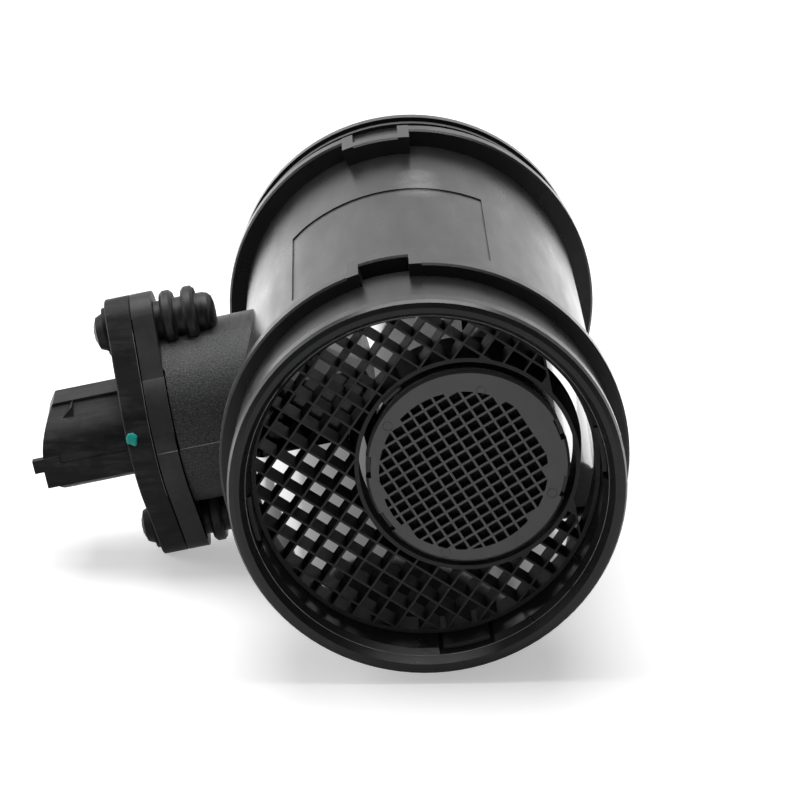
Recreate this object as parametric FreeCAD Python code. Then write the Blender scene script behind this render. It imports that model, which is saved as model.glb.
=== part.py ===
import FreeCAD, Part
import math
import os

# Mass airflow sensor in its duct housing, lying as it rests on a table.
# Sizes are in millimetres. The origin is on the duct axis in the plane of the inlet end.
# Each piece is drawn in the duct's own frame: Y runs along the duct with the air, the sensor
# points to -X, Z is up. At the end every piece is rolled about the duct axis, so that both
# hose ridges and the lower end of the sensor flange stand on one flat surface.

Vec = FreeCAD.Vector
ORIGIN = Vec(0, 0, 0)
X_AXIS = Vec(1, 0, 0)
Y_AXIS = Vec(0, 1, 0)
Z_AXIS = Vec(0, 0, 1)

# Duct
duct_length = 150.0
bore_radius = 38.4
duct_wall = 3.2
duct_outer = bore_radius + duct_wall
spigot_radius = 43.0
lip_radius = 43.9
lip_round = 1.5
lip_width = 5.0
inlet_lip_width = 3.0
mouth_wall = 2.7
mouth_depth = 3.8

# Hose ridges with their jogs
ridge_radius = 46.0
ridge_width = 4.2
ridge_edge = 0.5
inlet_ridge_y = 20.3
outlet_ridge_setback = 20.2
outlet_ridge_y = duct_length - outlet_ridge_setback
jog_shift = 6.7
jog_half_angle = 8.85
jog_block_width = 2.8

# Outlet lip
outlet_bead_radius = 44.6
outlet_bead_width = 3.4
outlet_groove_width = 1.8
outlet_collar_radius = outlet_bead_radius - 0.6
end_chamfer = 0.8

# Shallow field on top of the duct
field_start = 45.0
field_length = 48.5
field_half_angle = 33.7
field_depth = 0.3
field_corner = 7.0

# Inner tube
inner_offset = 9.4
inner_outer = 22.6
inner_wall = 1.7
inner_bore = inner_outer - inner_wall
inner_start = 11.8
inner_length = 92.0
vane_thickness = 2.4
vane_angle = 75.0
vane_length = 30.0

# Sensor neck and flanges
sensor_y = 79.5
mount_face = 63.1
neck_radius = 21.3
neck_rise = 1.2
flange_middle = 21.6
flange_end = 7.6
screw_offset = 25.2
housing_flange = 5.2
sensor_flange = 6.2
flange_edge = 0.3
flange_seam = 0.12
plug_radius = 15.8
plug_length = 11.0
plug_clearance = 0.2
pocket_floor_x = 42.0

# Finned screw bosses
boss_radius = 4.9
boss_length = 13.9
boss_dome = 2.4
fin_radius = 7.0
fin_width = 3.0
fin_edge = 0.7
fin_starts = (1.6, 6.8)
pilot_radius = 2.2
pilot_tip_wall = 2.6

# Inlet grid
grid_y = 11.5
grid_depth = 7.0
grid_clearance = 0.15
grid_seat = 0.45
pocket_radius = bore_radius + grid_seat
grid_outer = pocket_radius - grid_clearance
grid_rim = 1.0
grid_ring_outer = 25.05
grid_ring_wall = 0.95
grid_ring_back = 26.1
grid_ring_depth = 11.5
grid_pitch = 4.95
grid_wall = 0.5
grid_window_x = 31.0
tab_angles = (0, 90, 178.2, 270)
tab_width = 10.6
tab_slot_width = 12.6
tab_slot_depth = 1.0
tab_slot_front = 1.2
tab_front = 4.6
tab_root = 2.5

# Flow screen
screen_radius = 22.7
screen_plate = 1.9
screen_edge = 0.6
screen_skirt = 4.0
screen_skirt_wall = 0.6
gauze_thickness = 0.3
gauze_gap = 0.05
screen_fit = 0.1
screen_field = 18.7
screen_field_x = -1.1
screen_field_z = -0.7
screen_angle = 20.6
screen_pitch_a = 2.93
screen_pitch_b = 2.56
screen_phase_a = 1.9
screen_phase_b = 1.2
screen_bar = 0.56
clip_notch_width = 5.0
clip_notch_depth = 1.2
clip_notch_angles = (12.0, -24.0, 168.0, 204.0)

# Measuring blade
blade_chord = 24.0
blade_thickness = 12.0
blade_tip_x = 12.0
blade_edge = 2.4
blade_clearance = 0.3
sleeve_wall = 2.0
cover_thickness = 1.4
cover_gap = 0.1
cover_ledge = 1.0

# Bypass channel in the blade
channel_turn_y = 80.0
channel_turn_outer = 8.5
channel_turn_inner = 2.0
channel_floor = -1.5
channel_return_end = 70.0
outlet_window_length = 4.5

# Electronics chamber in the blade
chamber_x0 = -48.0
chamber_x1 = -17.0
chamber_width = 20.0
chamber_floor = -2.6
carrier_thickness = 1.0
board_thickness = 0.8
board_margin = 0.6
chip_size = 8.0
chip_height = 1.8
gel_height = 2.4
holder_width = 3.0
holder_thickness = 1.0
holder_tip_x = -2.9
element_length = 3.0
element_width = 2.2
element_thickness = 0.4

# Intake air temperature bead in its recess under the blade
recess_length = 10.0
recess_width = 9.0
recess_depth = 2.8
recess_x = -3.0
bead_radius = 0.95
bead_length = 3.0
bead_bevel = 0.4
lead_radius = 0.25

# Connector
connector_half_width = 13.4
connector_half_height = 10.4
connector_wall = 1.9
connector_length = 21.4
connector_scoop = 3.4
connector_bed = 3.0
rail_front_y = 1.5
rail_bottom = -5.8
rail_top = -0.4
rail_overhang = 0.4
rail_stand = 0.4
rail_root = 8.0
top_rail_height = 0.6
top_rail_front = 2.4
top_rail_back = 7.0
stub_length = 2.6
stub_bottom = -1.6
stub_height = 3.2
barb_length = 3.6
barb_root = 2.5
barb_width = 5.0
barb_distance = 12.6

# Terminals
terminal_count = 5
terminal_pitch = 3.6
terminal_width = 1.5
terminal_thickness = 0.63
terminal_reach = 10.5
terminal_tail = 4.0
terminal_tip = 0.8

# Screws
screw_head_radius = 5.8
screw_washer = 1.1
screw_dome_radius = 4.7
screw_dome = 2.8
screw_hole_radius = 2.75
screw_length = 21.5
screw_point = 0.8
socket_width = 4.0
socket_depth = 1.9

# Seal ring
seal_section = 1.2
seal_squeeze = 0.2
seal_x = 56.0

# Paint dab
paint_radius = 1.55
paint_inset = 1.65
paint_height = 4.7
paint_thickness = 0.12


def box(x0, x1, y0, y1, z0, z1):
    return Part.makeBox(x1 - x0, y1 - y0, z1 - z0, Vec(x0, y0, z0))


def cylinder_y(radius, y0, y1, x=0.0, z=0.0):
    return Part.makeCylinder(radius, y1 - y0, Vec(x, y0, z), Y_AXIS)


def cylinder_x(radius, x0, x1, y=sensor_y, z=0.0):
    return Part.makeCylinder(radius, x1 - x0, Vec(x0, y, z), X_AXIS)


def ring_y(outer, inner, y0, y1, x=0.0):
    return cylinder_y(outer, y0, y1, x).cut(cylinder_y(inner, y0, y1, x))


def revolve_y(points):
    # Points are (radius, y) around the duct axis.
    corners = [Vec(radius, y, 0) for radius, y in points]
    wire = Part.makePolygon(corners + corners[:1])
    return Part.Face(wire).revolve(ORIGIN, Y_AXIS, 360)


def revolve_x(points, z=0.0):
    # Points are (radius, x) around a line along X through the sensor's station.
    corners = [Vec(x, sensor_y, z + radius) for radius, x in points]
    wire = Part.makePolygon(corners + corners[:1])
    return Part.Face(wire).revolve(Vec(0, sensor_y, z), X_AXIS, 360)


def turned_y(shape, degrees):
    # Turns a copy about the duct axis. Positive angles move the top towards +X.
    copy = shape.copy()
    copy.rotate(ORIGIN, Y_AXIS, degrees)
    return copy


def sector_y(inner, outer, y0, y1, width, degrees):
    # A block of even width cut out of a ring, centred at an angle from the top.
    block = box(-width / 2, width / 2, y0, y1, 0, outer + 1)
    block = block.common(ring_y(outer, inner, y0, y1))
    return turned_y(block, degrees)


def wedge_y(inner, outer, y0, y1, half_angle):
    # A ring segment around the top, bounded by two radial planes.
    face = Part.Face(Part.makePolygon([
        Vec(inner, y0, 0), Vec(outer, y0, 0), Vec(outer, y1, 0), Vec(inner, y1, 0), Vec(inner, y0, 0)]))
    segment = face.revolve(ORIGIN, Y_AXIS, 2 * half_angle)
    return turned_y(segment, -90.0 - half_angle)


def clean(shape):
    shape = shape.removeSplitter()
    if shape.ShapeType == "Compound" and len(shape.Solids) == 1:
        return shape.Solids[0]
    return shape


def flange_outline(x0, thickness, edge):
    # Middle disc and two end discs joined by their outer tangents.
    tilt = math.asin((flange_middle - flange_end) / screw_offset)
    across = math.cos(tilt)
    along = math.sin(tilt)
    corners = []
    for side_y, side_z in ((-1, 1), (1, 1), (1, -1), (-1, -1)):
        near = Vec(x0, sensor_y + side_y * flange_middle * across, side_z * flange_middle * along)
        far = Vec(x0, sensor_y + side_y * flange_end * across,
                  side_z * (screw_offset + flange_end * along))
        corners.append((near, far))
    middle_front = Vec(x0, sensor_y - flange_middle, 0)
    middle_back = Vec(x0, sensor_y + flange_middle, 0)
    top = Vec(x0, sensor_y, screw_offset + flange_end)
    bottom = Vec(x0, sensor_y, -screw_offset - flange_end)
    front_top, back_top, back_bottom, front_bottom = corners
    edges = [
        Part.Arc(front_bottom[0], middle_front, front_top[0]).toShape(),
        Part.makeLine(front_top[0], front_top[1]),
        Part.Arc(front_top[1], top, back_top[1]).toShape(),
        Part.makeLine(back_top[1], back_top[0]),
        Part.Arc(back_top[0], middle_back, back_bottom[0]).toShape(),
        Part.makeLine(back_bottom[0], back_bottom[1]),
        Part.Arc(back_bottom[1], bottom, front_bottom[1]).toShape(),
        Part.makeLine(front_bottom[1], front_bottom[0]),
    ]
    plate = Part.Face(Part.Wire(edges)).extrude(Vec(thickness, 0, 0))
    rims = [e for e in plate.Edges if e.BoundBox.XLength < 1e-6]
    return plate.makeChamfer(edge, rims) if edge > 0 else plate


def roll_angle():
    # The chamfered lower corner of the sensor flange comes to rest level with the ridges.
    reach_x = mount_face + sensor_flange - flange_edge
    reach_z = screw_offset + flange_end
    reach = math.hypot(reach_x, reach_z)
    return math.degrees(math.atan2(reach_x, reach_z) - math.acos(ridge_radius / reach))


def duct_body():
    mouth_radius = lip_radius - mouth_wall
    inlet_back = grid_y + grid_depth
    outlet_ridge_end = outlet_ridge_y + ridge_width
    bead_start = duct_length - outlet_bead_width
    groove_start = bead_start - outlet_groove_width
    return revolve_y([
        (mouth_radius, 0),
        (lip_radius - lip_round, 0),
        (lip_radius - 0.3 * lip_round, 0.3 * lip_round),
        (lip_radius, lip_round),
        (lip_radius, lip_round + inlet_lip_width),
        (spigot_radius, lip_round + lip_width),
        (spigot_radius, inlet_ridge_y),
        (duct_outer, inlet_ridge_y + ridge_width),
        (duct_outer, outlet_ridge_y),
        (spigot_radius, outlet_ridge_end),
        (spigot_radius, groove_start - outlet_groove_width),
        (outlet_collar_radius, groove_start - outlet_groove_width),
        (outlet_collar_radius, groove_start),
        (spigot_radius, groove_start),
        (spigot_radius, bead_start),
        (outlet_bead_radius, bead_start),
        (outlet_bead_radius, duct_length - end_chamfer),
        (outlet_bead_radius - end_chamfer, duct_length),
        (bore_radius + end_chamfer, duct_length),
        (bore_radius, duct_length - end_chamfer),
        (bore_radius, inlet_back),
        (pocket_radius, inlet_back),
        (pocket_radius, mouth_depth),
    ])


def ridge_ring(y0):
    return revolve_y([
        (duct_outer - 0.5, y0),
        (ridge_radius - ridge_edge, y0),
        (ridge_radius, y0 + ridge_edge),
        (ridge_radius, y0 + ridge_width - ridge_edge),
        (ridge_radius - ridge_edge, y0 + ridge_width),
        (duct_outer - 0.5, y0 + ridge_width),
    ])


def hose_ridge(y0, shift):
    # The ridge steps along the duct by shift between two blocks at the top.
    ring = ridge_ring(y0)
    inner = duct_outer - 0.5
    gap = wedge_y(spigot_radius if shift > 0 else duct_outer, ridge_radius + 1, y0 - 1,
                  y0 + ridge_width + 1, jog_half_angle)
    stepped = ridge_ring(y0 + shift).common(
        wedge_y(inner, ridge_radius + 1, y0 + shift - 1, y0 + shift + ridge_width + 1, jog_half_angle))
    ridge = ring.cut(gap).fuse(stepped)
    block_y0 = min(y0, y0 + shift)
    block_y1 = max(y0, y0 + shift) + ridge_width
    for side in (-1, 1):
        block = sector_y(inner, ridge_radius, block_y0, block_y1, jog_block_width, side * jog_half_angle)
        ridge = ridge.fuse(block)
    return ridge


def label_field():
    # A shallow flat bottomed field with one clipped corner.
    half = field_half_angle
    field = wedge_y(duct_outer - field_depth, duct_outer + 1, field_start, field_start + field_length, half)
    corner_x = -(duct_outer + 2)
    edge_x = -duct_outer * math.sin(math.radians(half))
    back = field_start + field_length
    clip = Part.Face(Part.makePolygon([
        Vec(corner_x, back + 1, 0), Vec(edge_x + field_corner, back + 1, 0),
        Vec(corner_x, back - field_corner, 0), Vec(corner_x, back + 1, 0)]))
    return field.cut(clip.extrude(Vec(0, 0, duct_outer + 5)))


def inner_tube_solid(radius, y0, y1):
    return cylinder_y(radius, y0, y1, inner_offset)


def vane(side):
    # A thin web from the wall of the inner tube into the wall of the duct.
    direction = math.radians(vane_angle) * side
    web = box(inner_outer - 0.5 * inner_wall, bore_radius + 10, sensor_y - vane_length / 2,
              sensor_y + vane_length / 2, -vane_thickness / 2, vane_thickness / 2)
    web.rotate(ORIGIN, Y_AXIS, -math.degrees(direction))
    web.translate(Vec(inner_offset, 0, 0))
    return web.common(cylinder_y(bore_radius + 0.5 * duct_wall, 0, duct_length))


def blade_block(grow, x0, x1):
    half = blade_chord / 2 + grow
    return box(x0, x1, sensor_y - half, sensor_y + half,
               -blade_thickness / 2 - grow, blade_thickness / 2 + grow)


def screw_boss(side):
    z = side * screw_offset
    inner_face = -mount_face + housing_flange
    end = inner_face + boss_length
    points = [(0, inner_face - 1), (boss_radius, inner_face - 1)]
    for start in fin_starts:
        fin_x0 = inner_face + start
        fin_x1 = fin_x0 + fin_width
        points += [(boss_radius, fin_x0), (fin_radius - fin_edge, fin_x0), (fin_radius, fin_x0 + fin_edge)]
        points += [(fin_radius, fin_x1 - fin_edge), (fin_radius - fin_edge, fin_x1), (boss_radius, fin_x1)]
    # The domed tip falls away in three short cones.
    points += [(boss_radius, end - boss_dome)]
    for degrees in (30, 60, 90):
        angle = math.radians(degrees)
        points.append((boss_radius - boss_dome * (1 - math.cos(angle)),
                       end - boss_dome * (1 - math.sin(angle))))
    points.append((0, end))
    return revolve_x(points, z)


def housing():
    shell = duct_body()
    shell = shell.fuse(hose_ridge(inlet_ridge_y, jog_shift))
    shell = shell.fuse(hose_ridge(outlet_ridge_y, -jog_shift))
    shell = shell.cut(label_field())
    duct_space = cylinder_y(bore_radius, 0, duct_length)

    neck = cylinder_x(neck_radius, -mount_face + 0.5 * housing_flange, 0, z=neck_rise).cut(duct_space)
    plate = flange_outline(-mount_face, housing_flange, flange_seam)
    outside = neck.fuse(plate)
    for side in (-1, 1):
        outside = outside.fuse(screw_boss(side).cut(duct_space))
    neck_bits = box(-2 * mount_face, 0, 0, duct_length, -mount_face, mount_face)
    shell = shell.fuse(outside.common(neck_bits))

    tube_end = inner_start + inner_length
    shell = shell.fuse(inner_tube_solid(inner_outer, inner_start, tube_end))
    sleeve = blade_block(blade_clearance + sleeve_wall, -bore_radius - 0.5 * duct_wall,
                         inner_offset - inner_bore)
    shell = shell.fuse(sleeve)
    for side in (-1, 1):
        shell = shell.fuse(vane(side))
    shell = shell.cut(inner_tube_solid(inner_bore, inner_start - 1, tube_end + 1))

    shell = shell.cut(cylinder_x(plug_radius + plug_clearance, -mount_face - 1, -pocket_floor_x))
    shell = shell.cut(blade_block(blade_clearance, -pocket_floor_x - 1, inner_offset - inner_bore + 1))
    pilot_end = -mount_face + housing_flange + boss_length - pilot_tip_wall
    for side in (-1, 1):
        shell = shell.cut(cylinder_x(pilot_radius, -mount_face - 1, pilot_end, z=side * screw_offset))
    for angle in tab_angles:
        shell = shell.cut(sector_y(bore_radius - 1, pocket_radius + tab_slot_depth, tab_slot_front,
                                   grid_y + tab_root + grid_clearance, tab_slot_width, angle))
    return clean(shell)


def grid_cells(outer, inner, y0, y1):
    # Square cells on a diagonal lattice, clipped by the rim and by the inner ring.
    cell = grid_pitch - grid_wall
    reach = int(outer / grid_pitch) + 1
    window = cylinder_y(outer, y0, y1).cut(cylinder_y(inner, y0 - 1, y1 + 1, inner_offset))
    lattice_space = window.common(box(-outer, grid_window_x - grid_wall, y0, y1, -outer, outer))
    holes = []
    for i in range(-reach, reach + 1):
        for j in range(-reach, reach + 1):
            u = (i + 0.5) * grid_pitch
            v = (j + 0.5) * grid_pitch
            if math.hypot(u, v) - grid_pitch > outer:
                continue
            cube = box(u - cell / 2, u + cell / 2, y0, y1, v - cell / 2, v + cell / 2)
            cube.rotate(ORIGIN, Y_AXIS, 45)
            hole = cube.common(lattice_space)
            holes += [s for s in hole.Solids if s.Volume > 0.12 * cell * cell * (y1 - y0)]
    # Beside the inner ring the gap to the rim stays open, without cell walls.
    open_side = box(grid_window_x, outer + 1, y0, y1, -outer, outer)
    holes += window.common(open_side).Solids
    return holes


def inlet_grid():
    y0 = grid_y
    y1 = grid_y + grid_depth
    ring_inner = grid_ring_outer - grid_ring_wall
    disc = cylinder_y(grid_outer, y0, y1)
    disc = disc.cut(inner_tube_solid(ring_inner, y0 - 1, y1 + 1))
    holes = grid_cells(grid_outer - grid_rim, grid_ring_outer, y0 - 1, y1 + 1)
    grid = disc.cut(Part.makeCompound(holes))
    # The ring widens slightly towards its back edge, behind the cells.
    ring = Part.makeCone(grid_ring_outer, grid_ring_back, grid_ring_depth, Vec(inner_offset, y0, 0), Y_AXIS)
    ring = ring.cut(inner_tube_solid(ring_inner, y0 - 1, y0 + grid_ring_depth + 1))
    grid = grid.fuse(ring)
    tab_top = pocket_radius + tab_slot_depth - grid_clearance
    tab_low = grid_outer - grid_rim / 2
    for angle in tab_angles:
        root = sector_y(tab_low, tab_top, y0, y0 + tab_root, tab_width, angle)
        arm = sector_y(pocket_radius - grid_clearance, tab_top, tab_front, y0 + 0.5, tab_width, angle)
        grid = grid.fuse(root).fuse(arm)
    return clean(grid)


def screen_holes(y0, y1):
    width_a = screen_pitch_a - screen_bar
    width_b = screen_pitch_b - screen_bar
    field = cylinder_y(screen_field, y0, y1, screen_field_x, screen_field_z)
    holes = []
    for i in range(-8, 9):
        for j in range(-9, 10):
            a = screen_phase_a + (i + 0.5) * screen_pitch_a
            b = screen_phase_b + (j + 0.5) * screen_pitch_b
            cube = box(a - width_a / 2, a + width_a / 2, y0, y1, b - width_b / 2, b + width_b / 2)
            cube.rotate(ORIGIN, Y_AXIS, -screen_angle)
            middle = cube.CenterOfMass
            distance = math.hypot(middle.x - screen_field_x, middle.z - screen_field_z)
            if distance - screen_pitch_a > screen_field:
                continue
            if distance + screen_pitch_a < screen_field:
                holes.append(cube)
            else:
                hole = cube.common(field)
                holes += [s for s in hole.Solids if s.Volume > 0.25 * width_a * width_b * (y1 - y0)]
    return holes


def flow_screen():
    y1 = inner_start
    y0 = y1 - screen_plate
    plate = cylinder_y(screen_radius, y0, y1)
    rims = [e for e in plate.Edges if e.BoundBox.YLength < 1e-6 and e.BoundBox.YMin < y0 + 0.01]
    plate = plate.makeChamfer(screen_edge, rims)
    skirt_outer = inner_bore - screen_fit
    skirt = ring_y(skirt_outer, skirt_outer - screen_skirt_wall, y1 - 0.5, y1 + screen_skirt)
    screen = plate.fuse(skirt)
    screen = screen.cut(Part.makeCompound(screen_holes(y0 - 1, y1 + 1)))
    for angle in clip_notch_angles:
        notch = sector_y(screen_radius - clip_notch_depth, screen_radius + 1, y0 - 1, y1 + 1,
                         clip_notch_width, 90.0 - angle)
        screen = screen.cut(notch)
    screen.translate(Vec(inner_offset, 0, 0))
    return clean(screen)


def wire_gauze():
    # A woven wire disc inside the skirt, against the back of the plate.
    radius = inner_bore - screen_fit - screen_skirt_wall - gauze_gap
    return inner_tube_solid(radius, inner_start, inner_start + gauze_thickness)


def ellipse_prism(half_y, half_z, x0, x1):
    if half_y >= half_z:
        curve = Part.Ellipse(Vec(x0, sensor_y + half_y, 0), Vec(x0, sensor_y, half_z), Vec(x0, sensor_y, 0))
    else:
        curve = Part.Ellipse(Vec(x0, sensor_y, half_z), Vec(x0, sensor_y + half_y, 0), Vec(x0, sensor_y, 0))
    return Part.Face(Part.Wire(curve.toShape())).extrude(Vec(x1 - x0, 0, 0))


def channel_space(z0, z1):
    # Inlet leg, half turn and return leg of the bypass channel.
    inner = channel_turn_inner
    outer = channel_turn_outer
    front = sensor_y - blade_chord / 2
    inlet_leg = box(inner, outer, front - 1, channel_turn_y, z0, z1)
    return_leg = box(-outer, -inner, channel_return_end, channel_turn_y, z0, z1)
    turn = Part.makeCylinder(outer, z1 - z0, Vec(0, channel_turn_y, z0))
    turn = turn.cut(Part.makeCylinder(inner, z1 - z0, Vec(0, channel_turn_y, z0)))
    turn = turn.common(box(-outer, outer, channel_turn_y, channel_turn_y + outer, z0, z1))
    return inlet_leg.fuse(turn).fuse(return_leg)


def cover_bed():
    return blade_thickness / 2 - cover_thickness


def channel_cover_box(gap):
    half = blade_chord / 2 - cover_ledge - gap
    x0 = -channel_turn_outer - cover_ledge + gap
    x1 = channel_turn_outer + cover_ledge - gap
    return box(x0, x1, sensor_y - half, sensor_y + half, cover_bed(), blade_thickness / 2)


def chamber_cover_box(gap):
    half = chamber_width / 2 + cover_ledge - gap
    x0 = chamber_x0 - cover_ledge + gap
    x1 = chamber_x1 + cover_ledge - gap
    return box(x0, x1, sensor_y - half, sensor_y + half, cover_bed(), blade_thickness / 2)


def board_levels():
    carrier_top = chamber_floor + carrier_thickness
    board_top = carrier_top + board_thickness
    return carrier_top, board_top


def chamber_plate(margin, z0, z1):
    half = chamber_width / 2 - margin
    return box(chamber_x0 + margin, chamber_x1 - margin, sensor_y - half, sensor_y + half, z0, z1)


def holder_box(gap):
    board_top = board_levels()[1]
    y0 = sensor_y - holder_width / 2 - gap
    y1 = sensor_y + holder_width / 2 + gap
    x0 = chamber_x1 - board_margin - 2.0
    x1 = holder_tip_x + gap
    return box(x0, x1, y0, y1, board_top, board_top + holder_thickness + gap)


def terminal(index):
    y = sensor_y + (index - (terminal_count - 1) / 2) * terminal_pitch
    board_top = board_levels()[1]
    socket_bed = mount_face + sensor_flange - connector_bed
    x0 = -socket_bed - terminal_reach
    x1 = chamber_x0 + terminal_tail
    half = terminal_width / 2
    profile = Part.makePolygon([
        Vec(x1, y - half, board_top),
        Vec(x0 + terminal_tip, y - half, board_top),
        Vec(x0, y - half / 2, board_top),
        Vec(x0, y + half / 2, board_top),
        Vec(x0 + terminal_tip, y + half, board_top),
        Vec(x1, y + half, board_top),
        Vec(x1, y - half, board_top)])
    return Part.Face(profile).extrude(Vec(0, 0, terminal_thickness))


def connector_shell():
    outer_face = -mount_face - sensor_flange
    end = outer_face - connector_length
    shell = ellipse_prism(connector_half_width, connector_half_height, end, outer_face + 1)
    front = sensor_y - connector_half_width
    top = connector_half_height
    top_rail = box(end, outer_face + 1, sensor_y - top_rail_front, sensor_y + top_rail_back,
                   top - 3.0, top + top_rail_height)
    barb_x = outer_face - barb_distance
    barb_y0 = sensor_y - top_rail_front - barb_width
    barb_z0 = top - barb_root
    barb = Part.Face(Part.makePolygon([
        Vec(barb_x, barb_y0, barb_z0), Vec(barb_x, barb_y0, top + top_rail_height),
        Vec(barb_x - barb_length, barb_y0, barb_z0), Vec(barb_x, barb_y0, barb_z0)]))
    barb = barb.extrude(Vec(0, barb_width + 1, 0))
    shell = shell.fuse(top_rail).fuse(barb)
    # The open end bulges in the middle and falls back above and below.
    bulge = (connector_half_height ** 2 + connector_scoop ** 2) / (2 * connector_scoop)
    reach = 2 * connector_half_width
    cutter = Part.makeCylinder(bulge, 2 * reach, Vec(end + bulge, sensor_y - reach, 0), Y_AXIS)
    beyond = box(end - reach, end + connector_length / 2, sensor_y - reach, sensor_y + reach, -reach, reach)
    beyond = beyond.cut(cutter)
    rail_y = front - rail_stand
    rail = box(end - rail_overhang, outer_face + 1, rail_y, front + rail_root, rail_bottom, rail_top)
    stub = box(end - stub_length, end + 4, rail_y, front + rail_front_y, stub_bottom, stub_bottom + stub_height)
    return shell.cut(beyond).fuse(rail).fuse(stub)


def seal_groove_radius():
    return plug_radius + plug_clearance + seal_squeeze - 2 * seal_section


def sensor_body():
    outer_face = -mount_face - sensor_flange
    socket_bed = outer_face + connector_bed
    body = flange_outline(outer_face, sensor_flange, flange_edge)
    body = body.fuse(connector_shell())
    body = body.fuse(cylinder_x(plug_radius, -mount_face - 0.5, -mount_face + plug_length))
    blade = blade_block(0, -mount_face - 0.5, blade_tip_x)
    rims = [e for e in blade.Edges if e.BoundBox.YLength < 1e-6 and e.BoundBox.ZLength < 1e-6]
    body = body.fuse(blade.makeFillet(blade_edge, rims))
    cavity = ellipse_prism(connector_half_width - connector_wall, connector_half_height - connector_wall,
                           outer_face - connector_length - 5, socket_bed)
    body = body.cut(cavity)
    # Seal ring groove
    groove = cylinder_x(plug_radius + 1, -seal_x - seal_section, -seal_x + seal_section)
    groove = groove.cut(cylinder_x(seal_groove_radius(), -seal_x - 2, -seal_x + 2))
    body = body.cut(groove)
    for side in (-1, 1):
        hole = cylinder_x(screw_hole_radius, outer_face - 1, -mount_face + 1, z=side * screw_offset)
        body = body.cut(hole)
    # Chamber and channel, open to the top of the blade
    body = body.cut(chamber_plate(0, chamber_floor, blade_thickness))
    body = body.cut(chamber_cover_box(0))
    body = body.cut(channel_space(channel_floor, cover_bed() + 0.1))
    body = body.cut(channel_cover_box(0))
    body = body.cut(holder_box(cover_gap))
    recess_z = -blade_thickness / 2
    body = body.cut(box(recess_x - recess_length / 2, recess_x + recess_length / 2,
                        sensor_y - recess_width / 2, sensor_y + recess_width / 2,
                        recess_z - 1, recess_z + recess_depth))
    for index in range(terminal_count):
        body = body.cut(terminal(index))
    return clean(body)


def channel_cover():
    cover = channel_cover_box(cover_gap)
    inner = channel_turn_inner + 0.5
    outer = channel_turn_outer - 0.5
    y0 = channel_return_end + 0.5
    window = box(-outer, -inner, y0, y0 + outlet_window_length, cover_bed() - 1, blade_thickness)
    return clean(cover.cut(window))


def electronics_cover():
    cover = chamber_cover_box(cover_gap)
    rib = box(chamber_x0 + 4, chamber_x1 - 4, sensor_y - 0.8, sensor_y + 0.8,
              cover_bed() - 1.0, cover_bed())
    return clean(cover.fuse(rib))


def carrier_plate():
    return chamber_plate(board_margin / 2, chamber_floor, board_levels()[0])


def circuit_board():
    carrier_top, board_top = board_levels()
    return chamber_plate(board_margin, carrier_top, board_top)


def signal_chip():
    board_top = board_levels()[1]
    x = (chamber_x0 + chamber_x1) / 2 + 1.0
    half = chip_size / 2
    return box(x - half, x + half, sensor_y - half, sensor_y + half, board_top, board_top + chip_height)


def chip_holder():
    return holder_box(0)


def sensing_element():
    top = board_levels()[1] + holder_thickness
    x1 = holder_tip_x - 0.8
    half = element_width / 2
    return box(x1 - element_length, x1, sensor_y - half, sensor_y + half, top, top + element_thickness)


def protective_gel():
    board_top = board_levels()[1]
    gel = chamber_plate(board_margin, board_top, board_top + gel_height)
    gel = gel.cut(signal_chip()).cut(chip_holder())
    for index in range(terminal_count):
        gel = gel.cut(terminal(index))
    return clean(gel)


def bead_height():
    return -blade_thickness / 2 + recess_depth / 2


def thermistor():
    # A short glass bead with bevelled ends, lying along X between its wires.
    half = bead_length / 2
    return revolve_x([
        (0, recess_x - half),
        (bead_radius - bead_bevel, recess_x - half),
        (bead_radius, recess_x - half + bead_bevel),
        (bead_radius, recess_x + half - bead_bevel),
        (bead_radius - bead_bevel, recess_x + half),
        (0, recess_x + half),
    ], bead_height())


def thermistor_leads():
    z = bead_height()
    bead = thermistor()
    half = recess_length / 2
    left = cylinder_x(lead_radius, recess_x - half, recess_x, z=z).cut(bead)
    right = cylinder_x(lead_radius, recess_x, recess_x + half, z=z).cut(bead)
    return Part.makeCompound([left, right])


def seal_ring():
    # The squeezed ring fills its groove with an eight sided section.
    outer = plug_radius + plug_clearance
    inner = seal_groove_radius()
    bevel = 0.6 * seal_section
    return revolve_x([
        (inner, -seal_x - seal_section + bevel),
        (inner + bevel, -seal_x - seal_section),
        (outer - bevel, -seal_x - seal_section),
        (outer, -seal_x - seal_section + bevel),
        (outer, -seal_x + seal_section - bevel),
        (outer - bevel, -seal_x + seal_section),
        (inner + bevel, -seal_x + seal_section),
        (inner, -seal_x + seal_section - bevel),
    ])


def screw(side):
    z = side * screw_offset
    face = -mount_face - sensor_flange
    top = face - screw_washer - screw_dome
    bevel = 0.6 * screw_dome
    solid = revolve_x([
        (0, top),
        (screw_dome_radius - 1.8 * bevel, top),
        (screw_dome_radius - 0.5 * bevel, top + 0.5 * bevel),
        (screw_dome_radius, top + 1.6 * bevel),
        (screw_dome_radius, face - screw_washer),
        (screw_head_radius, face - screw_washer),
        (screw_head_radius, face),
        (pilot_radius, face),
        (pilot_radius, face + screw_length - screw_point),
        (pilot_radius - screw_point, face + screw_length),
        (0, face + screw_length),
    ], z)
    corners = []
    for step in range(7):
        angle = math.radians(60 * step)
        corners.append(Vec(top - 1, sensor_y + socket_width / 2 * math.cos(angle),
                           z + socket_width / 2 * math.sin(angle)))
    socket = Part.Face(Part.makePolygon(corners)).extrude(Vec(1 + socket_depth, 0, 0))
    return clean(solid.cut(socket))


def screws():
    return Part.makeCompound([screw(1), screw(-1)])


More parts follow.
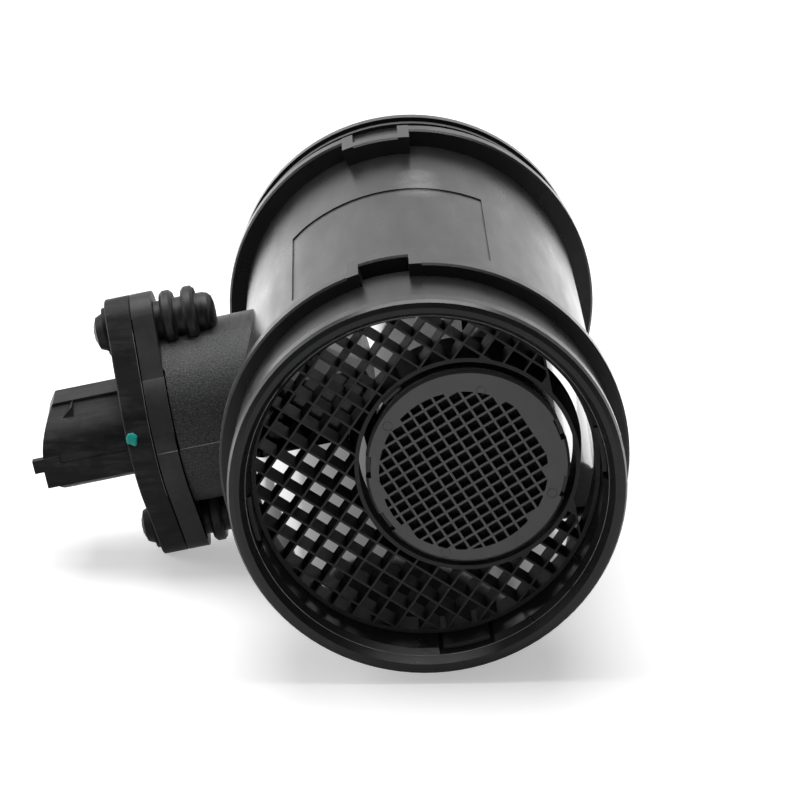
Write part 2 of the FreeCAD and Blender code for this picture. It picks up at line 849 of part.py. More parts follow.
def paint_mark():
    # A dab on the round front edge of the sensor flange.
    x = -mount_face - sensor_flange + paint_inset
    skin = cylinder_x(flange_middle + paint_thickness, x - 2 * paint_radius, x + 2 * paint_radius)
    skin = skin.cut(cylinder_x(flange_middle, x - 3 * paint_radius, x + 3 * paint_radius))
    dab = Part.makeCylinder(paint_radius, flange_middle, Vec(x, sensor_y - 1.5 * flange_middle, paint_height),
                            Y_AXIS)
    return clean(skin.common(dab))


def write(name, shape):
    rolled = shape.copy()
    rolled.rotate(ORIGIN, Y_AXIS, -roll_angle())
    rolled.exportStep("parts/" + name + ".step")


def main():
    os.makedirs("parts", exist_ok=True)
    write("housing", housing())
    write("inlet_grid", inlet_grid())
    write("flow_screen", flow_screen())
    write("wire_gauze", wire_gauze())
    write("sensor_body", sensor_body())
    write("channel_cover", channel_cover())
    write("electronics_cover", electronics_cover())
    write("carrier_plate", carrier_plate())
    write("circuit_board", circuit_board())
    write("signal_chip", signal_chip())
    write("chip_holder", chip_holder())
    write("sensing_element", sensing_element())
    write("protective_gel", protective_gel())
    write("thermistor", thermistor())
    write("thermistor_leads", thermistor_leads())
    write("seal_ring", seal_ring())
    write("screws", screws())
    write("paint_mark", paint_mark())
    for index in range(terminal_count):
        write("terminal_%d" % (index + 1), terminal(index))


main()
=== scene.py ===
import math

import bpy
from mathutils import Matrix, Vector


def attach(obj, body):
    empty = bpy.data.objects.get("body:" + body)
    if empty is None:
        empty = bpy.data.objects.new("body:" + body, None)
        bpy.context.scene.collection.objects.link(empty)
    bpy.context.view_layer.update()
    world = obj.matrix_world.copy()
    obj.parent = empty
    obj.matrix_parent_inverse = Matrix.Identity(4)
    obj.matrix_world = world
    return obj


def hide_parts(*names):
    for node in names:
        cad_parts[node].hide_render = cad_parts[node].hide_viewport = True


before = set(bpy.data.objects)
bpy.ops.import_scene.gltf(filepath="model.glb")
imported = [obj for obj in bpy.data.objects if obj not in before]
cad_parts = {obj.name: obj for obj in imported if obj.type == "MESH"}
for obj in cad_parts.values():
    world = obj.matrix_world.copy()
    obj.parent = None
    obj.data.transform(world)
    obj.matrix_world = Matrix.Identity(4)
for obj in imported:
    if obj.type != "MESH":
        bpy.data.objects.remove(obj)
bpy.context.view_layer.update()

MM = 0.001
FLOOR_Z = -46.0 * MM
ROLL = math.radians(11.596)


def rolled(x, y, z):
    """A point of the duct's own frame, in millimetres, as it lies on the table, in metres."""
    c, s = math.cos(ROLL), math.sin(ROLL)
    return Vector(((x * c - z * s) * MM, y * MM, (x * s + z * c) * MM))


# Materials

EDGE_SOFTNESS = 0.03
SCUFF_COLOUR = (0.2, 0.2, 0.2)
SCUFF_STRENGTH = 0.4
BORE_ROUGHNESS = 0.05
BORE_LIMIT = 38.45
DUCT_LIMIT = 41.75
SENSOR_SIDE_START = -24 * MM
NECK_ROUGHER = 0.18
NECK_COLOURS = ((0.004, 0.0042, 0.0042), (0.056, 0.058, 0.058))
NECK_SPAN = (55 * MM, 103 * MM)
NECK_FADE = 0.1
FLANGE_COLOURS = ((0.014, 0.0142, 0.0144), (0.023, 0.0233, 0.0236))
BOSS_COLOURS = ((0.006, 0.006, 0.0062), (0.03, 0.03, 0.0303))
BOSS_REACH = 7.3
BOSS_FADE = 7.5
WEAVE_TURN = 32.0
WEAVE_SCALE = 785.0
SCREW_OFFSET = 25.2
SENSOR_Y = 79.5
FLANGE_BACK = 57.9


class Graph:
    """A short hand for building the nodes of a material or a world."""

    def __init__(self, owner):
        owner.use_nodes = True
        self.tree = owner.node_tree
        self.tree.nodes.clear()

    def add(self, kind, **values):
        node = self.tree.nodes.new(kind)
        for key, value in values.items():
            setattr(node, key, value)
        return node

    def link(self, a, b):
        self.tree.links.new(a, b)

    def apart(self, vector):
        """The three parts of a vector."""
        node = self.add("ShaderNodeSeparateXYZ")
        self.link(vector, node.inputs[0])
        return node.outputs

    def span(self, value, a0, a1, b0, b1, smooth=False):
        """A value's range from a0 to a1 laid over the range from b0 to b1, and held beyond its ends."""
        node = self.add("ShaderNodeMapRange")
        if smooth:
            node.interpolation_type = "SMOOTHSTEP"
        node.inputs["From Min"].default_value = a0
        node.inputs["From Max"].default_value = a1
        node.inputs["To Min"].default_value = b0
        node.inputs["To Max"].default_value = b1
        self.link(value, node.inputs["Value"])
        return node.outputs["Result"]

    def math(self, operation, a, b=None):
        node = self.add("ShaderNodeMath", operation=operation)
        for socket, value in zip(node.inputs, (a, b)):
            if value is None:
                continue
            if isinstance(value, (int, float)):
                socket.default_value = value
            else:
                self.link(value, socket)
        return node.outputs["Value"]


class Nodes(Graph):
    """The nodes of one material round its main shader. Places are those of the object, in metres."""

    def __init__(self, name):
        self.material = bpy.data.materials.new(name)
        super().__init__(self.material)
        self.out = self.add("ShaderNodeOutputMaterial")
        self.shader = self.add("ShaderNodeBsdfPrincipled")
        self.link(self.shader.outputs["BSDF"], self.out.inputs["Surface"])
        self.place = self.add("ShaderNodeTexCoord").outputs["Object"]

    def noise(self, scale, detail=3.0, rough=0.5, stretch=None):
        """Noise around 0.5 over the object, drawn out where stretch is below 1."""
        node = self.add("ShaderNodeTexNoise")
        node.inputs["Scale"].default_value = scale
        node.inputs["Detail"].default_value = detail
        node.inputs["Roughness"].default_value = rough
        place = self.place
        if stretch:
            mapping = self.add("ShaderNodeMapping")
            mapping.inputs["Scale"].default_value = stretch
            self.link(place, mapping.inputs["Vector"])
            place = mapping.outputs["Vector"]
        self.link(place, node.inputs["Vector"])
        return node.outputs["Fac"]

    def mix(self, factor, a, b):
        """Colour a where the factor is 0, and b where it is 1."""
        node = self.add("ShaderNodeMix", data_type="RGBA")
        self.link(factor, node.inputs["Factor"])
        for index, value in ((6, a), (7, b)):
            if isinstance(value, tuple):
                node.inputs[index].default_value = (*value, 1.0)
            else:
                self.link(value, node.inputs[index])
        return node.outputs[2]

    def patch(self, centre, radius, soft):
        """1 near a point of the object and 0 away from it."""
        node = self.add("ShaderNodeVectorMath", operation="DISTANCE")
        self.link(self.place, node.inputs[0])
        node.inputs[1].default_value = centre
        return self.span(node.outputs["Value"], radius + soft, radius - soft, 0.0, 1.0)

    def radius(self):
        """Distance from the duct axis."""
        node = self.add("ShaderNodeVectorMath", operation="MULTIPLY")
        self.link(self.place, node.inputs[0])
        node.inputs[1].default_value = (1, 0, 1)
        length = self.add("ShaderNodeVectorMath", operation="LENGTH")
        self.link(node.outputs["Vector"], length.inputs[0])
        return length.outputs["Value"]

    def within(self, limit):
        """1 nearer the duct axis than a radius in millimetres, and 0 beyond it."""
        return self.span(self.radius(), (limit - EDGE_SOFTNESS) * MM, (limit + EDGE_SOFTNESS) * MM, 1.0, 0.0)

    def sensor_side(self):
        """1 on the sensor's neck, bosses and flange, and 0 on the duct."""
        part = self.apart(self.place)
        beside = self.span(part["X"], SENSOR_SIDE_START, SENSOR_SIDE_START - MM, 0.0, 1.0)
        behind = self.span(part["Y"], NECK_SPAN[0], NECK_SPAN[0] + MM, 0.0, 1.0)
        before = self.span(part["Y"], NECK_SPAN[1], NECK_SPAN[1] + MM, 1.0, 0.0)
        off_duct = self.math("SUBTRACT", 1.0, self.within(DUCT_LIMIT))
        beside = self.math("MULTIPLY", beside, off_duct)
        return self.math("MULTIPLY", beside, self.math("MULTIPLY", behind, before))

    def neck_part(self):
        """1 on the sensor's neck and its bosses, and 0 on its flange and on the duct."""
        inside = self.span(self.outwards(), -FLANGE_BACK * MM, (NECK_FADE - FLANGE_BACK) * MM, 0.0, 1.0)
        return self.math("MULTIPLY", self.sensor_side(), inside)

    def outwards(self):
        """Distance from the duct axis along the sensor's own axis, away from the connector."""
        node = self.add("ShaderNodeVectorMath", operation="DOT_PRODUCT")
        self.link(self.place, node.inputs[0])
        node.inputs[1].default_value = (math.cos(ROLL), 0, math.sin(ROLL))
        return node.outputs["Value"]

    def boss_part(self):
        """1 on the two finned screw bosses and 0 elsewhere."""
        part = self.apart(self.place)
        upwards = self.math("SUBTRACT", self.math("MULTIPLY", part["Z"], math.cos(ROLL)),
                            self.math("MULTIPLY", part["X"], math.sin(ROLL)))
        off_z = self.math("SUBTRACT", self.math("ABSOLUTE", upwards), SCREW_OFFSET * MM)
        off_y = self.math("SUBTRACT", part["Y"], SENSOR_Y * MM)
        away = self.math("SQRT", self.math("ADD", self.math("MULTIPLY", off_z, off_z),
                                           self.math("MULTIPLY", off_y, off_y)))
        near = self.span(away, BOSS_FADE * MM, BOSS_REACH * MM, 0.0, 1.0)
        return self.math("MULTIPLY", near, self.neck_part())

    def facing_inlet(self):
        """1 on faces that look along the duct to the inlet, and 0 on the others: the mask between painted
        light and painted shade.
        """
        part = self.apart(self.add("ShaderNodeNewGeometry").outputs["True Normal"])
        return self.span(part["Y"], -0.6, -0.9, 0.0, 1.0)

    def relief(self, parts, edge=0.0):
        """Chains bumps, given as (height, strength, distance in mm), over rounded edges."""
        normal = None
        if edge:
            bevel = self.add("ShaderNodeBevel", samples=6)
            bevel.inputs["Radius"].default_value = edge * MM
            normal = bevel.outputs["Normal"]
        for height, strength, distance in parts:
            bump = self.add("ShaderNodeBump")
            bump.inputs["Strength"].default_value = strength
            bump.inputs["Distance"].default_value = distance * MM
            self.link(height, bump.inputs["Height"])
            if normal:
                self.link(normal, bump.inputs["Normal"])
            normal = bump.outputs["Normal"]
        self.link(normal, self.shader.inputs["Normal"])

    def set(self, **values):
        for key, value in values.items():
            self.shader.inputs[key.replace("_", " ")].default_value = value


def plastic(name, dark, light, rough, grain=2200.0, grain_height=0.03, edge=0.35,
            bore=None, neck=False, scuffs=(), streaks=0.0, specular=0.5, painted_shade_walls=None):
    """Moulded black plastic: fine grain, faint flow marks, rubbed patches and a little dust.

    It is polished within the radius bore. Neck says that the sensor's side is rougher, with a speckled
    neck, a mottled flange and streaked bosses. Scuffs are rubbed spots, given as (centre, radius).
    Streaks is the strength of marks drawn along X. The walls colour is painted shade: it goes on all that
    doesn't face the inlet.
    """
    n = Nodes(name)
    broad = n.noise(38.0, 4.0, 0.6)
    flow = n.noise(170.0, 3.0, 0.55, stretch=(1.0, 0.25, 1.0))
    fine = n.noise(grain, 2.0, 0.6)
    specks = n.noise(900.0, 1.0, 0.4)
    colour = n.mix(n.span(broad, 0.3, 0.7, 0.0, 1.0), dark, light)
    dust_colour = tuple(min(1.0, 2.0 * c + 0.02) for c in light)
    dust = n.math("MULTIPLY", n.span(specks, 0.7, 0.76, 0.0, 0.3), n.span(broad, 0.42, 0.62, 0.0, 1.0))
    colour = n.mix(dust, colour, dust_colour)
    roughness = n.span(flow, 0.3, 0.7, rough[0], rough[1])
    for centre, radius in scuffs:
        spot = n.math("MULTIPLY", n.patch(centre, radius, radius * 0.4), n.span(specks, 0.38, 0.6, 0.6, 1.0))
        spot = n.math("MULTIPLY", spot, SCUFF_STRENGTH)
        colour = n.mix(spot, colour, SCUFF_COLOUR)
    # Painted shade: faces that don't look to the inlet take the darker walls colour, and those that do keep
    # the lighter colour as painted light.
    if painted_shade_walls:
        colour = n.mix(n.facing_inlet(), painted_shade_walls, colour)
    heights = [(flow, 0.2, 0.04), (fine, 0.4, grain_height)]
    if bore:
        outside = n.math("SUBTRACT", 1.0, n.within(bore))
        roughness = n.math("MULTIPLY", outside, roughness)
        roughness = n.math("MAXIMUM", roughness, BORE_ROUGHNESS)
        heights = [(n.math("MULTIPLY", height, outside), *rest) for height, *rest in heights]
    if neck:
        on_neck, on_bosses = n.neck_part(), n.boss_part()
        on_sensor_side = n.sensor_side()
        roughness = n.math("ADD", roughness, n.math("MULTIPLY", on_sensor_side, NECK_ROUGHER))
        mottled = n.mix(n.span(n.noise(240.0, 4.0, 0.6), 0.36, 0.62, 0.0, 1.0), *FLANGE_COLOURS)
        colour = n.mix(on_sensor_side, colour, mottled)
        speckled = n.mix(n.span(n.noise(3000.0, 2.0, 0.7), 0.4, 0.62, 0.0, 1.0), *NECK_COLOURS)
        colour = n.mix(on_neck, colour, speckled)
        streaked = n.noise(1100.0, 2.0, 0.6, stretch=(1.0, 0.1, 0.1))
        colour = n.mix(on_bosses, colour, n.mix(n.span(streaked, 0.4, 0.62, 0.0, 1.0), *BOSS_COLOURS))
        off_bosses = n.math("SUBTRACT", on_neck, on_bosses)
        heights.append((n.math("MULTIPLY", off_bosses, n.noise(2800.0, 2.0, 0.7)), 1.0, 0.13))
    if streaks:
        drawn = n.span(n.noise(420.0, 4.0, 0.7, stretch=(0.1, 1.0, 1.0)), 0.42, 0.58, 0.0, 1.0)
        stained = n.span(n.noise(110.0, 3.0, 0.6), 0.42, 0.56, 0.25, 1.0)
        colour = n.mix(n.math("MULTIPLY", drawn, stained), tuple(0.2 * c for c in dark), colour)
        heights.append((n.noise(700.0, 2.0, 0.6, stretch=(0.08, 1.0, 1.0)), streaks, 0.06))
    n.link(colour, n.shader.inputs["Base Color"])
    n.link(roughness, n.shader.inputs["Roughness"])
    n.set(Specular_IOR_Level=specular)
    n.relief(heights, edge)
    return n.material


def coated(name, colour, rough, metal=0.0, specular=0.5):
    """A plain small piece: slight mottling, fine bump, edges rounded by 0.2 mm."""
    n = Nodes(name)
    broad = n.noise(260.0, 3.0, 0.55)
    fine = n.noise(1500.0, 2.0, 0.5)
    darker = tuple(c * 0.75 for c in colour)
    n.link(n.mix(n.span(broad, 0.35, 0.65, 0.0, 1.0), darker, colour), n.shader.inputs["Base Color"])
    n.link(n.span(fine, 0.3, 0.7, rough - 0.06, rough + 0.08), n.shader.inputs["Roughness"])
    n.set(Metallic=metal, Specular_IOR_Level=specular)
    n.relief([(fine, 0.3, 0.02)], 0.2)
    return n.material


def gauze(name):
    """Fine dark wire woven at 0.4 mm: two sets of bands at right angles, the brighter one shown."""
    n = Nodes(name)
    bands = []
    for turn in (WEAVE_TURN, WEAVE_TURN + 90.0):
        mapping = n.add("ShaderNodeMapping")
        mapping.inputs["Rotation"].default_value = (0, math.radians(turn), 0)
        n.link(n.place, mapping.inputs["Vector"])
        wave = n.add("ShaderNodeTexWave", wave_type="BANDS", bands_direction="X", wave_profile="SIN")
        wave.inputs["Scale"].default_value = WEAVE_SCALE
        wave.inputs["Distortion"].default_value = 0.0
        n.link(mapping.outputs["Vector"], wave.inputs["Vector"])
        bands.append(wave.outputs["Fac"])
    wires = n.math("MAXIMUM", *bands)
    colour = n.mix(n.span(wires, 0.45, 0.95, 0.0, 1.0), (0.002, 0.002, 0.002), (0.018, 0.0182, 0.019))
    n.link(colour, n.shader.inputs["Base Color"])
    n.link(n.span(n.noise(600.0), 0.3, 0.7, 0.4, 0.55), n.shader.inputs["Roughness"])
    n.set(Specular_IOR_Level=0.15)
    n.relief([(wires, 0.5, 0.08)])
    return n.material


SCUFF_X = 9.2
SCUFF_Z = 40.6
SCUFF_SPOTS = ((92.5, 4.5), (98.5, 4.5), (105.0, 4.0))
SCUFFS = [(tuple(rolled(SCUFF_X, y, SCUFF_Z)), radius * MM) for y, radius in SCUFF_SPOTS]
looks = {
    "housing": plastic("housing_black", (0.009, 0.0092, 0.0095), (0.013, 0.0132, 0.0136), (0.26, 0.34),
                       edge=0.12, bore=BORE_LIMIT, neck=True, scuffs=SCUFFS),
    # The grid's and the screen's faces towards the inlet are lighter than the black plastic as painted
    # light, and their walls darker as painted shade.
    "inlet_grid": plastic("grid_black", (0.034, 0.0342, 0.0346), (0.044, 0.0443, 0.0447), (0.52, 0.6),
                          grain=2600.0, edge=0.08, painted_shade_walls=(0.013, 0.0131, 0.0133), specular=0.22),
    "flow_screen": plastic("screen_black", (0.085, 0.086, 0.088), (0.105, 0.106, 0.108), (0.36, 0.46),
                           grain=2600.0, grain_height=0.02, edge=0.08, painted_shade_walls=(0.022, 0.0222, 0.0225)),
    "wire_gauze": gauze("gauze_wire"),
    "sensor_body": plastic("sensor_black", (0.015, 0.0152, 0.0155), (0.022, 0.0222, 0.0226), (0.48, 0.58),
                           grain=1500.0, grain_height=0.05, edge=0.15, streaks=0.35, specular=0.3),
    "channel_cover": plastic("cover_black", (0.02, 0.02, 0.021), (0.03, 0.03, 0.031), (0.4, 0.5)),
    "electronics_cover": plastic("cover_black_2", (0.02, 0.02, 0.021), (0.03, 0.03, 0.031), (0.4, 0.5)),
    "carrier_plate": coated("carrier_aluminium", (0.6, 0.61, 0.63), 0.35, metal=1.0),
    "circuit_board": coated("board_ceramic", (0.7, 0.68, 0.62), 0.45),
    "signal_chip": coated("chip_resin", (0.03, 0.03, 0.03), 0.5),
    "chip_holder": coated("holder_plastic", (0.05, 0.05, 0.05), 0.5),
    "sensing_element": coated("silicon", (0.12, 0.14, 0.2), 0.15),
    "protective_gel": coated("gel", (0.5, 0.52, 0.55), 0.2),
    "thermistor": coated("bead_glass", (0.4, 0.15, 0.06), 0.15),
    "thermistor_leads": coated("lead_wire", (0.6, 0.58, 0.53), 0.3, metal=1.0),
    "seal_ring": coated("seal_rubber", (0.02, 0.02, 0.02), 0.55),
    "screws": coated("screw_black", (0.009, 0.009, 0.0095), 0.5, specular=0.25),
    "paint_mark": coated("green_paint", (0.006, 0.4, 0.33), 0.35),
}
terminal_look = coated("terminal_tin", (0.7, 0.68, 0.6), 0.3, metal=1.0)
for node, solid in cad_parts.items():
    solid.data.materials.clear()
    solid.data.materials.append(looks.get(node, terminal_look))


# Fine marks on the mouldings

def ring_of(centre, across, up, radius, sides):
    """Points around a centre, in the plane of the two directions."""
    return [centre + radius * (math.cos(t) * across + math.sin(t) * up)
            for t in (2 * math.pi * k / sides for k in range(sides))]


def piece(name, vertices, faces, look, smooth=True):
    """A mesh of the scene's own, with its look and its material slot, that stays with the part."""
    mesh = bpy.data.meshes.new(name)
    mesh.from_pydata(vertices, [], faces)
    mesh.update()
    for polygon in mesh.polygons:
        polygon.use_smooth = smooth
    mesh.materials.append(look)
    thing = bpy.data.objects.new(name, mesh)
    bpy.context.scene.collection.objects.link(thing)
    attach(thing, "root")
    return thing


def thread(name, path, radius, look, closed=False, sides=6):
    """A thin raised line along a path of points in metres, with its radius in millimetres."""
    count = len(path)
    vertices = []
    for i, point in enumerate(path):
        after = path[(i + 1) % count] if closed or i + 1 < count else point
        before = path[i - 1] if closed or i else point
        ahead = (after - before).normalized()
        helper = Vector((0, 0, 1)) if abs(ahead.z) < 0.8 else Vector((1, 0, 0))
        across = ahead.cross(helper).normalized()
        vertices += ring_of(point, across, across.cross(ahead), radius * MM, sides)
    faces = []
    for i in range(count if closed else count - 1):
        a, b = i * sides, (i + 1) % count * sides
        faces += [(a + k, b + k, b + (k + 1) % sides, a + (k + 1) % sides) for k in range(sides)]
    if not closed:
        faces += [tuple(range(sides))[::-1], tuple(range(len(vertices) - sides, len(vertices)))]
    piece(name, vertices, faces, look)


def circle(x, y, z, radius, count, start=0.0, turn=360.0):
    """Points of a circle or an arc in the plane across the duct, in its own frame."""
    steps = count if turn >= 360 else count - 1
    angles = [math.radians(start + turn * k / steps) for k in range(count)]
    return [rolled(x + radius * math.sin(t), y, z + radius * math.cos(t)) for t in angles]


NECK_RADIUS = 21.3
NECK_RISE = 1.2
FLANGE_RADIUS = 21.6
LOBE_RADIUS = 7.6
MOUNT_FACE = 63.1
SEAM_RADIUS = 0.08
BURR_RADIUS = 0.05
MARK_LINE_RADIUS = 0.06
MARK_RADIUS = 1.05
NECK_SEAM_X = (-FLANGE_BACK, -54, -50, -46.5)
FLANGE_SEAM_X = (-62.9, -60.5, -58)
# Where the painted shadow lines at the flange begin and turn.
SHADOW_LINE_TOP = 17.5
SHADOW_LINE_TURN = 3.0
LOBE_END = 29.0
BURR_TOP = 27.0
BURR_BOTTOM = -12.0
MOUTH_RADIUS = 39.93
MOUTH_LINE_Y = 2.0
INNER_X = 9.4
SCREEN_FRONT = 9.9


def flange_path(x, radius, top, bottom, count=49):
    """Points down the front edge of the lobed flange: an arc in the middle, straight towards the lobes."""
    lean = math.acos((FLANGE_RADIUS - LOBE_RADIUS) / SCREW_OFFSET)
    path = []
    for k in range(count):
        z = top + (bottom - top) * k / (count - 1)
        if abs(z) < radius * math.cos(lean):
            y = math.sqrt(radius ** 2 - z ** 2)
        else:
            y = (radius - abs(z) * math.cos(lean)) / math.sin(lean)
        path.append(rolled(x, SENSOR_Y - y, z))
    return path


def neck_path(x, top, bottom, rise=0.0, count=25):
    """Points down the front of the round neck, which sits a little above the flange's centre."""
    heights = [top + (bottom - top) * k / (count - 1) for k in range(count)]
    reach = [rise + math.sqrt(NECK_RADIUS ** 2 - (z - NECK_RISE) ** 2) for z in heights]
    return [rolled(x, SENSOR_Y - y, z) for y, z in zip(reach, heights)]


def bar_between(name, rows, look, smooth=True):
    """A closed bar whose four long edges are given as rows of points."""
    count = len(rows[0])
    vertices = [row[i] for i in range(count) for row in rows]
    faces = [(4 * i + k, 4 * i + (k + 1) % 4, 4 * i + 4 + (k + 1) % 4, 4 * i + 4 + k)
             for i in range(count - 1) for k in range(4)]
    faces += [(0, 3, 2, 1), (4 * count - 4, 4 * count - 3, 4 * count - 2, 4 * count - 1)]
    piece(name, vertices, faces, look, smooth)


def flange_band():
    """The upper part of the flange's front edge, which stands a little proud of the neck."""
    left, right, proud, sunk = -63.0, -57.8, 0.14, -0.9
    top, bottom, count = 16.4, 4.6, 60
    rows = [neck_path(x, top, bottom, rise, count)
            for x, rise in ((left, proud), (right, proud), (right, sunk), (left, sunk))]
    bar_between("flange_band", rows, looks["housing"], smooth=False)


def seams():
    """The mould's parting lines, its burr and the line in the mouth, drawn light grey as painted highlights,
    and near-black painted shadow lines at the flange.
    """
    # Painted highlights: the parting lines, the burr and the mouth line are light grey to stand in for light
    # caught on their edges.
    look = coated("seam_highlight", (0.34, 0.34, 0.34), 0.4)
    neck_front = SENSOR_Y - math.sqrt(NECK_RADIUS ** 2 - NECK_RISE ** 2)
    on_neck = [rolled(x, neck_front, 0) for x in NECK_SEAM_X]
    thread("neck_seam", on_neck, SEAM_RADIUS, look)
    on_flange = [rolled(x, SENSOR_Y - FLANGE_RADIUS, 0) for x in FLANGE_SEAM_X]
    thread("flange_seam", on_flange, SEAM_RADIUS, look)
    # Painted shadow: near-black lines where the flange steps from the neck and along its face.
    shadow = coated("joint_shadow", (0.001, 0.001, 0.001), 0.9, specular=0.0)
    upper = neck_path(0.25 - FLANGE_BACK, SHADOW_LINE_TOP, 0.0)
    thread("neck_shadow_line", upper, 0.2, shadow)
    lower = flange_path(-FLANGE_BACK, FLANGE_RADIUS - 0.28, SHADOW_LINE_TURN, -LOBE_END)
    thread("flange_shadow_line", lower, 0.24, shadow)
    between = flange_path(-MOUNT_FACE, FLANGE_RADIUS - 0.1, LOBE_END, -LOBE_END)
    thread("face_shadow_line", between, 0.15, shadow)
    burr = flange_path(-0.3 - MOUNT_FACE, FLANGE_RADIUS - 0.02, BURR_TOP, BURR_BOTTOM)
    thread("flange_burr", burr, BURR_RADIUS, look)
    mouth = circle(0, MOUTH_LINE_Y, 0, MOUTH_RADIUS, 160)
    thread("mouth_highlight", mouth, 0.07, look, closed=True)


def screen_marks():
    """Round ejector marks on the screen's plate."""
    look = coated("ejector_mark", (0.07, 0.07, 0.072), 0.5)
    places = ((26.5, -9.9), (0.6, -18.9), (15.7, 17.0), (-6.0, 13.2))
    for index, (x, z) in enumerate(places):
        ring = circle(x, SCREEN_FRONT, z, MARK_RADIUS, 20)
        thread("ejector_mark_%d" % (index + 1), ring, MARK_LINE_RADIUS, look, closed=True)


def snap_lug():
    """A small lug on the inner face of the grid's ring."""
    look = coated("lug_grey", (0.06, 0.06, 0.062), 0.45)
    inner, outer, front, back = 23.3, 24.12, 11.0, 13.0
    start, turn, count = -40.0, 12.5, 9
    rows = [circle(INNER_X, y, 0, radius, count, start, turn)
            for radius, y in ((inner, front), (outer, front), (outer, back), (inner, back))]
    bar_between("snap_lug", rows, look)


def paint_dab():
    """An uneven dab of paint on the front edge of the sensor's flange, pointed at its lower right."""
    x0, z0, size, point, count = -68.0, 5.0, 1.32, 0.7, 28
    rims = ((1.0, 0.0), (0.93, 0.09), (0.6, 0.14), (0.25, 0.15))
    vertices = []
    for share, height in rims:
        for k in range(count):
            t = 2 * math.pi * k / count
            uneven = 0.09 * math.sin(2 * t + 0.6) + 0.06 * math.sin(3 * t + 2.0) + 0.04 * math.sin(7 * t)
            reach = size * (1 + uneven)
            reach += point * size * max(0.0, math.cos(t + 1.2)) ** 10
            x, z = x0 + share * reach * math.cos(t), z0 + share * reach * math.sin(t)
            y = SENSOR_Y - math.sqrt((FLANGE_RADIUS + height) ** 2 - z ** 2)
            vertices.append(rolled(x, y, z))
    faces = [(row * count + k, row * count + (k + 1) % count, (row + 1) * count + (k + 1) % count,
              (row + 1) * count + k) for row in range(len(rims) - 1) for k in range(count)]
    faces += [tuple(range(count))[::-1], tuple(range(3 * count, 4 * count))]
    dab = piece("paint_dab", vertices, faces, looks["paint_mark"])
    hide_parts("paint_mark")


seams()
flange_band()
screen_marks()
snap_lug()
paint_dab()


# Studio: pale floor and soft light

SWEEP = (0.0, 0.6)
SIDE_LEVEL = 0.03
SWEEP_LEVEL = (1.8, 1.05)
SWEEP_HEIGHT = 0.34
OVERHEAD = (0.75, 0.95)
TOP_LEVEL = 0.35
FILL_LEVEL = 0.3
FLOOR_GLOW = 0.41
NEAR_SHEEN = 0.02
NEAR_FLOOR_SHADE = 0.35
FAR_SHEEN = 1.7
SHEEN_START = 60 * MM
SHEEN_END = 170 * MM
SHEEN_ASIDE = (100 * MM, 300 * MM)
ASIDE_SHARE = 0.7
FLOOR_REACH = 6.0
AIM = (0, 0.06, 0)


def make_floor():
    """A pale floor that keeps the shadow. What the gloss shows of it is dark in front, a painted shadow
    under the part, and bright behind.
    """
    mesh = bpy.data.meshes.new("floor")
    corners = ((-FLOOR_REACH, -FLOOR_REACH), (FLOOR_REACH, -FLOOR_REACH), (FLOOR_REACH, FLOOR_REACH),
               (-FLOOR_REACH, FLOOR_REACH))
    mesh.from_pydata([(x, y, FLOOR_Z) for x, y in corners], [], [(0, 1, 2, 3)])
    floor = bpy.data.objects.new("floor", mesh)
    bpy.context.scene.collection.objects.link(floor)
    n = Nodes("floor_white")
    n.set(Roughness=0.8, Specular_IOR_Level=0.1)
    path = n.add("ShaderNodeLightPath")
    mirrored = n.math("MAXIMUM", path.outputs["Is Glossy Ray"], path.outputs["Is Transmission Ray"])
    along = n.apart(n.place)
    # Painted shadow: to mirrored rays the floor's colour goes towards black near the front, standing in for
    # the shadow under the part.
    near = n.math("MULTIPLY", mirrored, n.span(along["Y"], SHEEN_START, SHEEN_END, NEAR_FLOOR_SHADE, 0.0))
    pale = n.mix(n.noise(3.0), (0.84, 0.84, 0.84), (0.86, 0.86, 0.86))
    n.link(n.mix(near, pale, (0.0, 0.0, 0.0)), n.shader.inputs["Base Color"])
    sheen = n.span(along["Y"], SHEEN_START, SHEEN_END, NEAR_SHEEN, FAR_SHEEN)
    aside = n.span(n.math("ABSOLUTE", along["X"]), *SHEEN_ASIDE, 1.0, ASIDE_SHARE)
    sheen = n.math("MULTIPLY", sheen, aside)
    glow = n.add("ShaderNodeEmission")
    n.link(n.math("ADD", n.math("MULTIPLY", path.outputs["Is Camera Ray"], FLOOR_GLOW),
                  n.math("MULTIPLY", mirrored, sheen)), glow.inputs["Strength"])
    both = n.add("ShaderNodeAddShader")
    n.link(n.shader.outputs["BSDF"], both.inputs[0])
    n.link(glow.outputs["Emission"], both.inputs[1])
    n.link(both.outputs["Shader"], n.out.inputs["Surface"])
    mesh.materials.append(n.material)


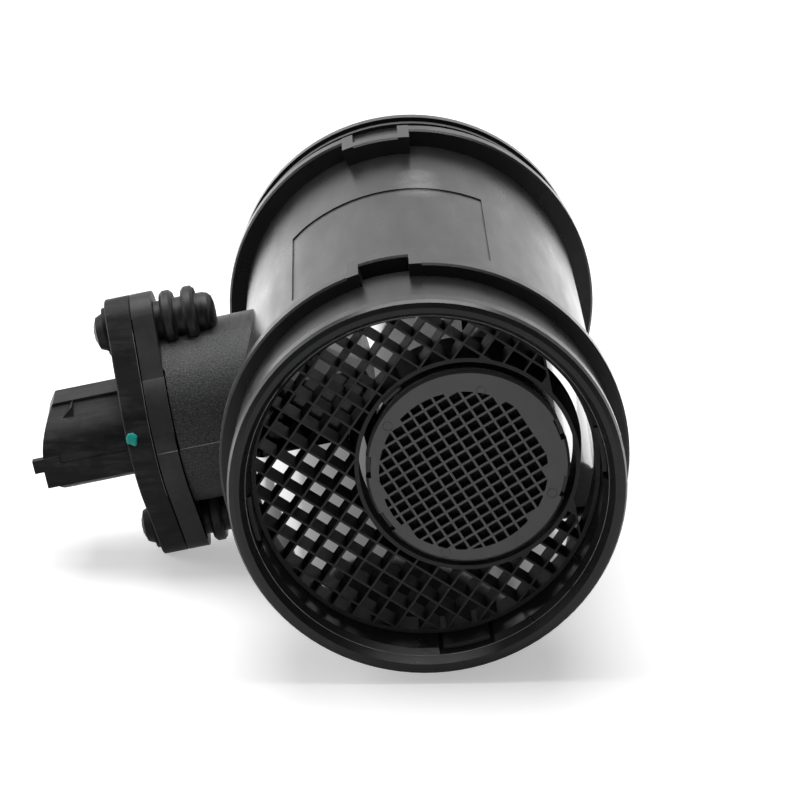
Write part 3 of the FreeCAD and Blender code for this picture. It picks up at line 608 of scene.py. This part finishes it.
def make_world():
    """Even light for what is matt. The gloss shows a white sweep behind, with darker sides."""
    world = bpy.data.worlds.new("studio")
    bpy.context.scene.world = world
    g = Graph(world)
    path = g.add("ShaderNodeLightPath")
    direction = g.apart(g.add("ShaderNodeTexCoord").outputs["Generated"])
    falling = g.span(direction["Z"], 0.0, SWEEP_HEIGHT, *SWEEP_LEVEL)
    sweep = g.math("MULTIPLY", falling, g.span(direction["Y"], *SWEEP, SIDE_LEVEL, 1.0, True))
    overhead = g.span(direction["Z"], *OVERHEAD, 0.0, TOP_LEVEL, True)
    shown = g.math("MAXIMUM", sweep, overhead)
    glossy = g.math("MAXIMUM", path.outputs["Is Glossy Ray"], path.outputs["Is Transmission Ray"])
    level = g.math("MULTIPLY", glossy, shown)
    rest = g.math("MULTIPLY", g.math("SUBTRACT", 1.0, glossy), FILL_LEVEL)
    level = g.math("MAXIMUM", g.math("ADD", level, rest), path.outputs["Is Camera Ray"])
    back = g.add("ShaderNodeBackground")
    g.link(level, back.inputs["Strength"])
    g.link(back.outputs["Background"], g.add("ShaderNodeOutputWorld").inputs["Surface"])


def area(name, place, size, power):
    """A soft rectangular lamp that looks at the middle of the part."""
    data = bpy.data.lights.new(name, "AREA")
    data.shape = "RECTANGLE"
    data.size, data.size_y = size
    data.energy = power
    lamp = bpy.data.objects.new(name, data)
    lamp.location = place
    lamp.rotation_euler = (Vector(AIM) - Vector(place)).to_track_quat("-Z", "Y").to_euler()
    bpy.context.scene.collection.objects.link(lamp)


make_floor()
make_world()
area("top", (0.0, 0.2, 0.95), (0.9, 0.7), 10.0)
area("left", (-0.9, 0.2, 0.4), (0.5, 0.7), 4.0)
area("right", (0.9, 0.2, 0.5), (0.5, 0.7), 0.2)


# Camera, at the photograph's angle

CAMERA_PLACE = (-0.02341, -0.71649, 0.28046)
CAMERA_RIGHT = (0.9997, -0.0242, 0.0)
CAMERA_AHEAD = (0.0228, 0.9402, -0.3399)
CAMERA_LENS = 158.5
CAMERA_WIDTH = 36.0


def make_camera():
    """The camera fitted to the rings of the photograph."""
    data = bpy.data.cameras.new("camera")
    data.sensor_fit = "HORIZONTAL"
    data.sensor_width = CAMERA_WIDTH
    data.lens = CAMERA_LENS
    data.clip_start = 0.05
    camera = bpy.data.objects.new("camera", data)
    right = Vector(CAMERA_RIGHT).normalized()
    ahead = Vector(CAMERA_AHEAD).normalized()
    up = right.cross(ahead).normalized()
    right = ahead.cross(up).normalized()
    turned = Matrix((right, up, -ahead)).transposed().to_4x4()
    camera.matrix_world = Matrix.Translation(CAMERA_PLACE) @ turned
    bpy.context.scene.collection.objects.link(camera)
    bpy.context.scene.camera = camera


make_camera()
bpy.context.scene.view_settings.view_transform = "Standard"
